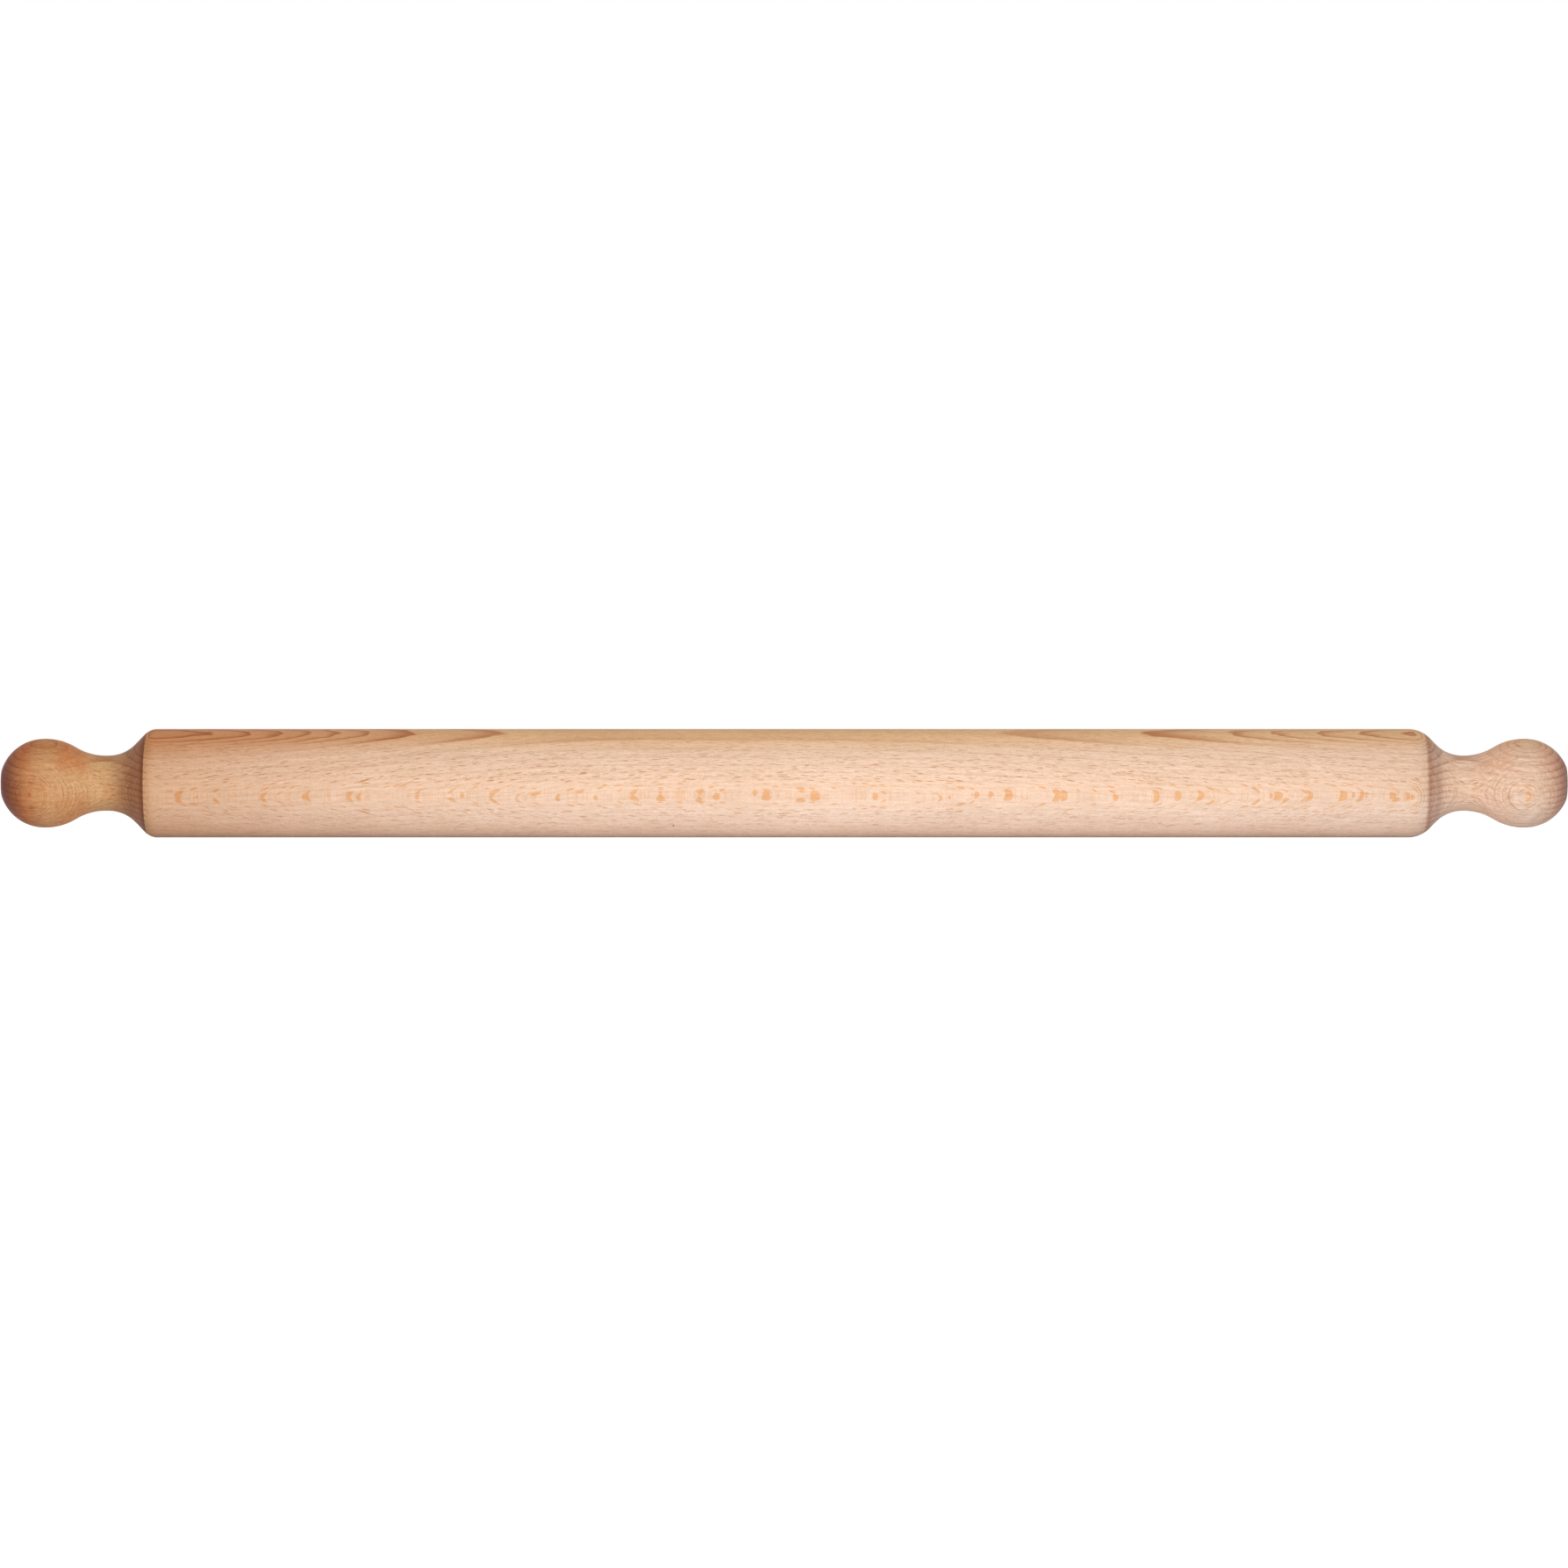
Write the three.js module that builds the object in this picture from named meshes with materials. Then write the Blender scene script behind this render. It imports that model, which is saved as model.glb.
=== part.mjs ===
// Rolling pin with fixed handles, turned from beech: a long plain barrel and a ball handle at
// each end, which is glued into the barrel by a round tenon.
// Millimetres. The pin's axis is X, its middle is the origin and +Z is up.

import * as THREE from 'three';

// Overall sizes
const PIN_LENGTH = 600;
const BARREL_DIAMETER = 41.6;

// Sizes that both handles share
const BALL_DIAMETER = 34.1;
const BALL_CROWN = 0.6; // straight stretch round the widest part of the ball
const BALL_TO_NECK = 22.9; // along the axis, from the ball's crown to the neck
const NECK_DIAMETER = 21.2;
const COVE_RADIUS = 14.8; // hollow between the neck and the flank
const FLANK_ANGLE = 46; // degrees between the pin's axis and the flank above the cove

// Sizes of each end, which differ a little because the pin is finished by hand: the diameter of
// the flat on the ball's end, the straight stretch round the neck, the radius that the shoulder
// is rounded to, and how many degrees of that rounding lie on the barrel, up to the parting line
const LEFT_END = { flat: 10.8, neckRun: 1, shoulderRound: 6.5, parting: 35 };
const RIGHT_END = { flat: 13.3, neckRun: 0.3, shoulderRound: 11.5, parting: 29 };

// Glued joint between a handle and the barrel
const TENON_DIAMETER = 16;
const TENON_LENGTH = 40;
const TENON_CHAMFER = 1.5;
const GLUE_GAP = 0.2; // round the tenon
const GLUE_ROOM = 2; // past the tenon's end
const DRILL_POINT_ANGLE = 118; // degrees across the bottom of the bored socket

// Fineness of the facets
const SIDES = 48;
const ARC_STEP = 8; // degrees of arc between two points of an outline

const radians = THREE.MathUtils.degToRad;
const barrelRadius = BARREL_DIAMETER / 2;
const ballRadius = BALL_DIAMETER / 2;
const neckRadius = NECK_DIAMETER / 2;
const tenonRadius = TENON_DIAMETER / 2;
const socketRadius = tenonRadius + GLUE_GAP;
const flankAngle = radians(FLANK_ANGLE);

// Lays the lathe's upright axis along X. Swapping whole axes keeps every coordinate exact.
const AXIS_ALONG_X = new THREE.Matrix4().set(
  0, 1, 0, 0,
  0, 0, 1, 0,
  1, 0, 0, 0,
  0, 0, 0, 1,
);

// Points [x, radius] of an arc about [x, r]. Angles are taken from the pin's radius, and a negative
// size makes the arc hollow.
function arc([x, r], size, from, to) {
  const steps = Math.ceil(Math.abs(to - from) / radians(ARC_STEP));
  return Array.from({ length: steps + 1 }, (_, i) => {
    const angle = from + ((to - from) * i) / steps;
    return [x + Math.abs(size) * Math.sin(angle), r + size * Math.cos(angle)];
  });
}

// Turned outline of a handle, with x measured from the handle's flat end to the parting line
function handleOutline(end) {
  const flatRadius = end.flat / 2;
  const ballCentre = Math.sqrt(ballRadius ** 2 - flatRadius ** 2);
  const crownEnd = ballCentre + BALL_CROWN;
  const neckStart = crownEnd + BALL_TO_NECK;
  const neckEnd = neckStart + end.neckRun;

  // The ball runs into the neck by an ogee of two equal arcs
  const drop = ballRadius - neckRadius;
  const ogeeRadius = (BALL_TO_NECK ** 2 + drop ** 2) / (4 * drop);
  const ogeeAngle = 2 * Math.atan(drop / BALL_TO_NECK);

  // The cove climbs from the neck into a straight flank, which runs over into the rounded shoulder
  const cove = arc([neckEnd, neckRadius + COVE_RADIUS], -COVE_RADIUS, 0, flankAngle);
  const [coveEnd, coveTop] = cove.at(-1);
  const roundCentre = barrelRadius - end.shoulderRound;
  const flankTop = roundCentre + end.shoulderRound * Math.cos(flankAngle);
  const flankEnd = coveEnd + (flankTop - coveTop) / Math.tan(flankAngle);
  const shoulderCentre = [flankEnd + end.shoulderRound * Math.sin(flankAngle), roundCentre];

  return [
    [0, 0],
    ...arc([ballCentre, 0], ballRadius, -Math.asin(ballCentre / ballRadius), 0),
    ...arc([crownEnd, ballRadius - ogeeRadius], ogeeRadius, 0, ogeeAngle),
    ...arc([neckStart, neckRadius + ogeeRadius], -ogeeRadius, -ogeeAngle, 0).slice(1),
    ...cove,
    ...arc(shoulderCentre, end.shoulderRound, -flankAngle, -radians(end.parting)),
  ];
}

// Handle outline carried on by the tenon, from the shoulder face to the axis
function handleWithTenon(outline) {
  const [shoulder] = outline.at(-1);
  const tenonEnd = shoulder + TENON_LENGTH;
  return [
    ...outline,
    [shoulder, tenonRadius],
    [tenonEnd - TENON_CHAMFER, tenonRadius],
    [tenonEnd, tenonRadius - TENON_CHAMFER],
    [tenonEnd, 0],
  ];
}

// One end of the barrel, from the drill point of its socket, out round the mouth and over the shoulder.
// x is measured from the same end of the pin as the handle's.
function barrelEnd(end, shoulder) {
  const socketEnd = shoulder + TENON_LENGTH + GLUE_ROOM;
  const drillPoint = socketRadius / Math.tan(radians(DRILL_POINT_ANGLE / 2));
  const parting = radians(end.parting);
  const roundCentre = [shoulder + end.shoulderRound * Math.sin(parting), barrelRadius - end.shoulderRound];
  return [
    [socketEnd + drillPoint, 0],
    [socketEnd, socketRadius],
    [shoulder, socketRadius],
    ...arc(roundCentre, end.shoulderRound, -parting, 0),
  ];
}

// Places an outline of the left end, and turns one of the right end round to follow on from the left
const atLeft = (outline) => outline.map(([x, r]) => [x - PIN_LENGTH / 2, r]);
const atRight = (outline) => outline.map(([x, r]) => [PIN_LENGTH / 2 - x, r]).reverse();

// Solid turned about the X axis, with a flat facet underneath
function turned(name, outline, color, roughness) {
  const profile = outline.map(([x, r]) => new THREE.Vector2(r, x));
  const geometry = new THREE.LatheGeometry(profile, SIDES, Math.PI / SIDES);
  geometry.applyMatrix4(AXIS_ALONG_X);
  const material = new THREE.MeshStandardMaterial({ color, roughness, metalness: 0 });
  const mesh = new THREE.Mesh(geometry, material);
  mesh.name = name;
  return mesh;
}

const leftHandle = handleOutline(LEFT_END);
const rightHandle = handleOutline(RIGHT_END);
const [leftShoulder] = leftHandle.at(-1);
const [rightShoulder] = rightHandle.at(-1);
const barrel = [
  ...atLeft(barrelEnd(LEFT_END, leftShoulder)),
  ...atRight(barrelEnd(RIGHT_END, rightShoulder)),
];

const rollingPin = new THREE.Group();
rollingPin.add(
  turned('barrel', barrel, '#eccaa6', 0.5),
  turned('left_handle', atLeft(handleWithTenon(leftHandle)), '#d6a273', 0.55),
  turned('right_handle', atRight(handleWithTenon(rightHandle)), '#e3b891', 0.55),
);

export default rollingPin;
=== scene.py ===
"""Rolling pin turned from beech, on a plain white stage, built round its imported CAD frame."""

import math

import bpy
from bpy.props import FloatProperty, FloatVectorProperty, IntProperty, PointerProperty
from bpy.types import Operator, Panel, PropertyGroup
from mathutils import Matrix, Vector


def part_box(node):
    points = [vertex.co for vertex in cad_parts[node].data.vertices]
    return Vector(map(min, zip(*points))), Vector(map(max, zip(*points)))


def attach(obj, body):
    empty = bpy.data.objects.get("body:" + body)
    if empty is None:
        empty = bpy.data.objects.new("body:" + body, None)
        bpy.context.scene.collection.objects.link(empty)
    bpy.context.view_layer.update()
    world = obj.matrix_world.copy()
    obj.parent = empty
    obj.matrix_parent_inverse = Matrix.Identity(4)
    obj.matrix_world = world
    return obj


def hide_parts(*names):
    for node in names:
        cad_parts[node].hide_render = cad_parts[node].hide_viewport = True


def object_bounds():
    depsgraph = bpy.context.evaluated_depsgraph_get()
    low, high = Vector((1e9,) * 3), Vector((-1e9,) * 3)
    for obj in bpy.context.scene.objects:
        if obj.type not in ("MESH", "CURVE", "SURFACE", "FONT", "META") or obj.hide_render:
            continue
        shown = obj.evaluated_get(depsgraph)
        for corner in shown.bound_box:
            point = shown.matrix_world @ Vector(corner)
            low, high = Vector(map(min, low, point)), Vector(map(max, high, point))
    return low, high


bl_info = {
    "name": "Rolling pin",
    "version": (1, 0, 0),
    "blender": (4, 5, 0),
    "location": "3D View > Sidebar > Rolling pin",
    "description": "Turns the pieces of a beech rolling pin and sets them on a white stage",
    "category": "Object",
}

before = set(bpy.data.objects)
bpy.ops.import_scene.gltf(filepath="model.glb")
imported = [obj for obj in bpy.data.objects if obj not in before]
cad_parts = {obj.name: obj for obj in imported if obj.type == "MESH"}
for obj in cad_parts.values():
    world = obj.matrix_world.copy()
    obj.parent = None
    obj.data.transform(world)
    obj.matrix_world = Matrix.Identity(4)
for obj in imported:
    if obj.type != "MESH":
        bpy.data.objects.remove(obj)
CAD_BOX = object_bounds()

MM = 0.001
LEFT_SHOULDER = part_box("barrel")[0].x
RIGHT_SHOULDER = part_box("barrel")[1].x
PIN_LENGTH = CAD_BOX[1].x - CAD_BOX[0].x


# Properties that a user would change


def length(name, description, default):
    """A size in metres."""
    return FloatProperty(
        name=name, description=description, default=default, unit="LENGTH", subtype="DISTANCE", precision=4
    )


def angle(name, description, degrees):
    """An angle that is written in degrees."""
    return FloatProperty(
        name=name, description=description, default=math.radians(degrees), unit="ROTATION", subtype="ANGLE"
    )


def colour(name, description, default):
    """A linear colour, or a tint that the wood's colour is multiplied by."""
    return FloatVectorProperty(
        name=name, description=description, default=default, size=3, min=0, max=1, subtype="COLOR"
    )


def share(name, description, default):
    """A plain number from 0 upwards."""
    return FloatProperty(name=name, description=description, default=default, min=0)


class PinSizes(PropertyGroup):
    """Sizes of the turned pieces."""

    pin_length: length("Pin length", "From flat end to flat end", PIN_LENGTH)
    barrel_diameter: length("Barrel diameter", "Across the straight barrel", 41.6 * MM)
    ball_diameter: length("Ball diameter", "Across a handle's ball", 34.1 * MM)
    ball_crown: length("Ball crown", "Straight stretch round the widest part of the ball", 0.6 * MM)
    ball_to_neck: length("Ball to neck", "Along the axis, from the ball's crown to the neck", 22.9 * MM)
    neck_diameter: length("Neck diameter", "Across a handle's neck", 21.2 * MM)
    cove_radius: length("Cove radius", "Hollow between the neck and the flank", 14.8 * MM)
    flank_angle: angle("Flank angle", "Between the pin's axis and the flank above the cove", 46)
    left_flat: length("Left flat", "Across the flat on the left ball's end", 10.8 * MM)
    left_neck_run: length("Left neck run", "Straight stretch round the left neck", 1 * MM)
    left_round: length("Left rounding", "Radius of the left shoulder", 6.5 * MM)
    left_parting: angle("Left parting", "Share of the left rounding that lies on the barrel", 35)
    right_flat: length("Right flat", "Across the flat on the right ball's end", 13.3 * MM)
    right_neck_run: length("Right neck run", "Straight stretch round the right neck", 0.3 * MM)
    right_round: length("Right rounding", "Radius of the right shoulder", 11.5 * MM)
    right_parting: angle("Right parting", "Share of the right rounding that lies on the barrel", 29)
    rim_radius: length("Rim radius", "Softened rim round each end flat", 1 * MM)
    tenon_diameter: length("Tenon diameter", "Round tenon that a handle is glued in by", 16 * MM)
    tenon_length: length("Tenon length", "From the shoulder to the tenon's end", 40 * MM)
    tenon_chamfer: length("Tenon chamfer", "Chamfer round the tenon's end", 1.5 * MM)
    glue_gap: length("Glue gap", "Gap round the tenon", 0.2 * MM)
    glue_room: length("Glue room", "Gap past the tenon's end", 2 * MM)
    drill_point: angle("Drill point", "Across the bottom of the bored socket", 118)
    sides: IntProperty(name="Sides", description="Flats round a turned piece", default=192, min=12)
    arc_step: angle("Arc step", "Turn between two points of a rounded stretch", 3)
    barrel_step: length("Barrel step", "Distance between two rings of the barrel", 6 * MM)
    crease: angle("Crease", "Edges sharper than this stay crisp", 15)
    weld: length("Weld", "Points closer than this become one", 0.001 * MM)


class WoodLooks(PropertyGroup):
    """Colours and figure of the beech, with painted light and shade in some of the tints. Sizes inside the
    wood are in millimetres.
    """

    pale: colour("Pale wood", "Ground colour of the barrel", (0.885, 0.62, 0.448))
    # The lower wood is lighter and cooler than the pale wood: painted bounce light on the underside
    low: colour("Lower wood", "Cooler ground colour of the underside", (0.905, 0.70, 0.565))
    tan: colour("Tan wood", "Ground colour nearest the heart, along the top", (0.94, 0.57, 0.28))
    # The warm end is a warmer tone and painted shade, darker where the light falls off to the left
    warm_shaded_tint: colour("Warm end", "Tint of the left end, which was nearest the root", (0.76, 0.55, 0.34))
    left_tint: colour("Left handle", "Further tint of the whole left handle", (1.0, 0.99, 0.79))
    side_tint: colour("Ball sides", "Tint of the sloping sides of the balls", (0.91, 0.65, 0.52))
    # The outer end tint is painted shade on the balls' outer ends, which face away from the light, over
    # end-grain tone
    outer_end_shade_tint: colour("Outer end shade", "Tint of the left ball's outer half, and of the right tip", (0.86, 0.61, 0.50))
    heart_tint: colour("Heart", "Tint of the innermost wood, at the top of the left half", (0.90, 0.73, 0.62))
    # The right end tint is painted shade, where the light falls off towards the right end
    right_end_shade_tint: colour("Right end", "Tint of the right handle and the barrel beside it", (0.96, 0.94, 0.93))
    ring_tint: colour("Ring line", "Tint of the dark end of each year's growth", (0.58, 0.30, 0.14))
    dash_tint: colour("Ray dash", "Tint of a ray that is cut across", (0.64, 0.44, 0.27))
    fleck_tint: colour("Ray fleck", "Tint of a ray that is cut along its face", (0.94, 0.71, 0.47))
    # The ball end tint is end grain and painted shade, on the outward-facing ends only
    end_grain_shade_tint: colour("Ball end", "Tint of the end grain round each ball's end", (0.27, 0.10, 0.16))
    # The left cove tint is end grain and painted shade in the cove, which faces away from the light
    left_cove_shade_tint: colour("Left cove", "Tint of the end grain in the left cove", (0.25, 0.03, 0.05))
    edge_tint: colour("Left edge", "Tint of the barrel's rounded left edge", (0.97, 0.92, 0.80))
    end_face_tint: colour("End face", "Tint of the flat on each ball's end", (0.36, 0.22, 0.32))
    # The shoulder tint is painted shade in the crease at each shoulder
    shoulder_shade_tint: colour("Shoulder line", "Tint of the thin line at the shoulder", (0.66, 0.52, 0.48))
    mark_tint: colour("Marks", "Tint of the small dent and scratch", (0.45, 0.38, 0.34))
    ring_width: share("Ring width", "One year's growth far from the heart, in millimetres", 2.44)
    slow_width: share("Slow ring width", "One year's growth near the heart, in millimetres", 0.75)
    roughness: share("Roughness", "Roughness of the sanded surface", 0.56)


class StageLooks(PropertyGroup):
    """Light, floor and camera."""

    camera_distance: length("Camera distance", "From the camera to the pin's axis", 2.4)
    camera_height: length("Camera height", "Above the pin's axis", -0.3 * MM)
    view_width: length("View width", "Width of the view at the pin's axis", 0.6018)
    key_distance: length("Front light distance", "From the front light to the pin's axis", 0.7)
    key_side: length("Front light side", "How far the front light stands to the right", 0.05)
    key_level: share("Front light level", "Share of white that the front light gives", 0.60)
    back_level: share("Back light level", "Share of white that the back light gives", 0.60)
    sky_level: share("Sky level", "Share of white that the whole surrounding gives", 0.45)
    floor_colour: colour("Floor colour", "Colour of the pale floor", (0.86, 0.86, 0.86))
    floor_lift: share("Floor lift", "Glow that takes the floor to white for the camera", 0.72)


# Node trees, written as sums


class Wire:
    """An output of a node. Sums that are written with wires become nodes in the same tree."""

    def __init__(self, sheet, socket):
        self.sheet = sheet
        self.socket = socket

    def __add__(self, other):
        return self.sheet.sum("ADD", self, other)

    def __sub__(self, other):
        return self.sheet.sum("SUBTRACT", self, other)

    def __rsub__(self, other):
        return self.sheet.sum("SUBTRACT", other, self)

    def __mul__(self, other):
        return self.sheet.sum("MULTIPLY", self, other)

    def __truediv__(self, other):
        return self.sheet.sum("DIVIDE", self, other)

    def __pow__(self, other):
        return self.sheet.sum("POWER", self, other)

    def __neg__(self):
        return self.sheet.sum("MULTIPLY", self, -1)

    def __abs__(self):
        return self.sheet.sum("ABSOLUTE", self)

    __radd__ = __add__
    __rmul__ = __mul__


def port(ports, key):
    """The socket with that identifier or name."""
    return next(p for p in ports if key in (p.identifier, p.name))


def opaque(tint):
    """A colour property as the four numbers that a socket takes. A wire stays as it is."""
    return tint if isinstance(tint, Wire) else (*tint, 1.0)


# Levels of a smooth ramp that goes up, and of one that goes down
RISE = (0.0, 1.0)
FALL = (1.0, 0.0)


class NodeSheet:
    """Adds nodes to a tree, wires them up and lays them out in columns."""

    rows = 7
    spacing = (190, 240)

    def __init__(self, tree):
        self.tree = tree

    def node(self, kind, inputs=None, **settings):
        """A new node with its settings, and its inputs set or wired."""
        count = len(self.tree.nodes)
        node = self.tree.nodes.new(kind)
        node.location = (count // self.rows * self.spacing[0], -(count % self.rows) * self.spacing[1])
        for name, value in settings.items():
            setattr(node, name, value)
        for key, value in (inputs or {}).items():
            socket = port(node.inputs, key)
            if isinstance(value, Wire):
                self.tree.links.new(value.socket, socket)
            else:
                socket.default_value = value
        return node

    def out(self, node, key):
        """One output of a node."""
        return Wire(self, port(node.outputs, key))

    def sum(self, operation, first, second=0.0):
        """A sum on plain numbers."""
        inputs = {"Value": first, "Value_001": second}
        return self.out(self.node("ShaderNodeMath", inputs, operation=operation), "Value")

    def largest(self, first, second):
        """The larger of two numbers."""
        return self.sum("MAXIMUM", first, second)

    def smallest(self, first, second):
        """The smaller of two numbers."""
        return self.sum("MINIMUM", first, second)

    def soft_size(self, value, ease):
        """A number without its sign, rounded off near 0."""
        return self.sum("SQRT", value**2 + ease**2)

    def ramp(self, value, stretch, levels=RISE):
        """Goes smoothly from the first level to the second while the value goes over a stretch."""
        inputs = {
            "Value": value,
            "From Min": stretch[0],
            "From Max": stretch[1],
            "To Min": levels[0],
            "To Max": levels[1],
        }
        node = self.node("ShaderNodeMapRange", inputs, interpolation_type="SMOOTHSTEP")
        return self.out(node, "Result")

    def point(self, x, y, z):
        """A place from its three coordinates."""
        return self.out(self.node("ShaderNodeCombineXYZ", {"X": x, "Y": y, "Z": z}), "Vector")

    def split(self, place):
        """The three coordinates of a place."""
        node = self.node("ShaderNodeSeparateXYZ", {"Vector": place})
        return [self.out(node, axis) for axis in "XYZ"]

    def noise(self, place, sizes, detail=1.0):
        """Smooth noise from about -1 to 1, with features of those sizes along the three coordinates."""
        scaled = [coordinate / size for coordinate, size in zip(place, sizes)]
        inputs = {"Vector": self.point(*scaled), "Scale": 1.0, "Detail": detail}
        node = self.node("ShaderNodeTexNoise", inputs)
        return (self.out(node, "Fac") - 0.5) * 2.0

    def chance(self, value):
        """A random number from 0 to 1 for each whole value."""
        node = self.node("ShaderNodeTexWhiteNoise", {"W": value}, noise_dimensions="1D")
        return self.out(node, "Value")

    def paint(self, blend, amount, under, over):
        """One colour laid over another, by an amount."""
        inputs = {"Factor_Float": amount, "A_Color": opaque(under), "B_Color": opaque(over)}
        node = self.node("ShaderNodeMix", inputs, data_type="RGBA", blend_type=blend)
        return self.out(node, "Result_Color")

    def tint(self, under, over, amount):
        """A colour multiplied by a tint, by an amount."""
        return self.paint("MULTIPLY", amount, under, over)

    def mix(self, under, over, amount):
        """A colour that goes over into another, by an amount."""
        return self.paint("MIX", amount, under, over)


# Turning


def lathe_tree():
    """Geometry Nodes tree that turns an outline of points (x, radius) round the X axis."""
    tree = bpy.data.node_groups.new("Turn on the lathe", "GeometryNodeTree")
    tree.is_modifier = True
    for name, kind in (
        ("Outline", "NodeSocketGeometry"),
        ("Sides", "NodeSocketInt"),
        ("Crease", "NodeSocketFloat"),
        ("Weld", "NodeSocketFloat"),
        ("Wood", "NodeSocketMaterial"),
    ):
        tree.interface.new_socket(name, in_out="INPUT", socket_type=kind)
    tree.interface.new_socket("Piece", in_out="OUTPUT", socket_type="NodeSocketGeometry")

    sheet = NodeSheet(tree)
    given = sheet.node("NodeGroupInput")
    outline = sheet.out(given, "Outline")
    sides = sheet.out(given, "Sides")
    seam = sides + 1

    # A flat grid, with a row of points for each point of the outline
    count = sheet.node("GeometryNodeAttributeDomainSize", {"Geometry": outline}, component="MESH")
    points = sheet.out(count, "Point Count")
    grid = sheet.node("GeometryNodeMeshGrid", {"Vertices X": points, "Vertices Y": seam})

    # Each row is wrapped round the axis at its own radius
    index = sheet.out(sheet.node("GeometryNodeInputIndex"), "Index")
    row = sheet.sum("FLOOR", (index + 0.5) / seam)
    turn = (index - row * seam) / sides * math.tau
    position = sheet.out(sheet.node("GeometryNodeInputPosition"), "Position")
    sample = sheet.node(
        "GeometryNodeSampleIndex",
        {"Geometry": outline, "Value": position, "Index": row},
        data_type="FLOAT_VECTOR",
        domain="POINT",
    )
    x, radius, _ = sheet.split(sheet.out(sample, "Value"))
    place = sheet.point(x, radius * sheet.sum("SINE", turn), radius * sheet.sum("COSINE", turn))
    wrapped = sheet.node("GeometryNodeSetPosition", {"Geometry": sheet.out(grid, "Mesh"), "Position": place})

    # The seam and the poles are closed, and only the true creases stay sharp
    closed = sheet.node(
        "GeometryNodeMergeByDistance",
        {"Geometry": sheet.out(wrapped, "Geometry"), "Distance": sheet.out(given, "Weld")},
    )
    smooth = sheet.node(
        "GeometryNodeSetShadeSmooth", {"Geometry": sheet.out(closed, "Geometry")}, domain="FACE"
    )
    bend = sheet.out(sheet.node("GeometryNodeInputMeshEdgeAngle"), "Unsigned Angle")
    crisp = sheet.node(
        "GeometryNodeSetShadeSmooth",
        {
            "Geometry": sheet.out(smooth, "Geometry"),
            "Selection": sheet.sum("GREATER_THAN", bend, sheet.out(given, "Crease")),
            "Shade Smooth": False,
        },
        domain="EDGE",
    )
    real = sheet.node("GeometryNodeRealizeInstances", {"Geometry": sheet.out(crisp, "Geometry")})
    wooden = sheet.node(
        "GeometryNodeSetMaterial",
        {"Geometry": sheet.out(real, "Geometry"), "Material": sheet.out(given, "Wood")},
    )
    sheet.node("NodeGroupOutput", {"Piece": sheet.out(wooden, "Geometry")})
    return tree


def turned(name, outline, wood, sizes):
    """A piece turned from its outline, as a plain mesh."""
    blank = bpy.data.meshes.new(name + "_outline")
    corners = [(x, radius, 0) for x, radius in outline]
    blank.from_pydata(corners, [(i, i + 1) for i in range(len(corners) - 1)], [])
    rough = bpy.data.objects.new(name + "_outline", blank)
    bpy.context.scene.collection.objects.link(rough)

    tree = bpy.data.node_groups.get("Turn on the lathe") or lathe_tree()
    lathe = rough.modifiers.new("Lathe", "NODES")
    lathe.node_group = tree
    settings = {"Sides": sizes.sides, "Crease": sizes.crease, "Weld": sizes.weld, "Wood": wood}
    for socket_name, value in settings.items():
        lathe[port(tree.interface.items_tree, socket_name).identifier] = value

    evaluated = rough.evaluated_get(bpy.context.evaluated_depsgraph_get())
    mesh = bpy.data.meshes.new_from_object(evaluated)
    mesh.name = name
    bpy.data.objects.remove(rough)
    bpy.data.meshes.remove(blank)
    if not mesh.polygons:
        raise RuntimeError(f"the lathe made nothing of {name}")

    piece = bpy.data.objects.new(name, mesh)
    bpy.context.scene.collection.objects.link(piece)
    return piece


def arc(middle, size, start, stop, step):
    """Points of an arc about middle, with angles from the pin's radius. A negative size is hollow."""
    x, radius = middle
    steps = math.ceil(abs(stop - start) / step)
    turns = [start + (stop - start) * i / steps for i in range(steps + 1)]
    return [(x + abs(size) * math.sin(turn), radius + size * math.cos(turn)) for turn in turns]


def handle_outline(sizes, flat, neck_run, rounding, parting):
    """Outline of a handle, with x measured from its flat end: ball, ogee, neck, cove, shoulder and tenon."""
    ball = sizes.ball_diameter / 2
    neck = sizes.neck_diameter / 2
    step = sizes.arc_step
    ball_middle = math.sqrt(ball**2 - (flat / 2) ** 2)
    crown_end = ball_middle + sizes.ball_crown
    neck_start = crown_end + sizes.ball_to_neck
    neck_end = neck_start + neck_run

    # The rim of the end flat is softened by a small arc that runs into the ball
    rim = sizes.rim_radius
    rim_height = math.sqrt((ball - rim) ** 2 - (ball_middle - rim) ** 2)
    rim_end = -math.atan2(ball_middle - rim, rim_height)

    # The ball runs into the neck by an ogee of two equal arcs
    drop = ball - neck
    ogee = (sizes.ball_to_neck**2 + drop**2) / (4 * drop)
    ogee_turn = 2 * math.atan(drop / sizes.ball_to_neck)

    # The cove climbs from the neck into a straight flank, which runs over into the rounded shoulder
    cove = arc((neck_end, neck + sizes.cove_radius), -sizes.cove_radius, 0, sizes.flank_angle, step)
    cove_end, cove_top = cove[-1]
    round_height = sizes.barrel_diameter / 2 - rounding
    flank_top = round_height + rounding * math.cos(sizes.flank_angle)
    flank_end = cove_end + (flank_top - cove_top) / math.tan(sizes.flank_angle)
    round_middle = (flank_end + rounding * math.sin(sizes.flank_angle), round_height)
    brow = arc(round_middle, rounding, -sizes.flank_angle, -parting, step)
    shoulder = brow[-1][0]

    tenon = sizes.tenon_diameter / 2
    tenon_end = shoulder + sizes.tenon_length
    return [
        (0, 0),
        *arc((rim, rim_height), rim, -math.pi / 2, rim_end, step),
        *arc((ball_middle, 0), ball, rim_end, 0, step)[1:],
        *arc((crown_end, ball - ogee), ogee, 0, ogee_turn, step),
        *arc((neck_start, neck + ogee), -ogee, -ogee_turn, 0, step)[1:],
        *cove,
        *brow,
        (shoulder, tenon),
        (tenon_end - sizes.tenon_chamfer, tenon),
        (tenon_end, tenon - sizes.tenon_chamfer),
        (tenon_end, 0),
    ]


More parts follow.
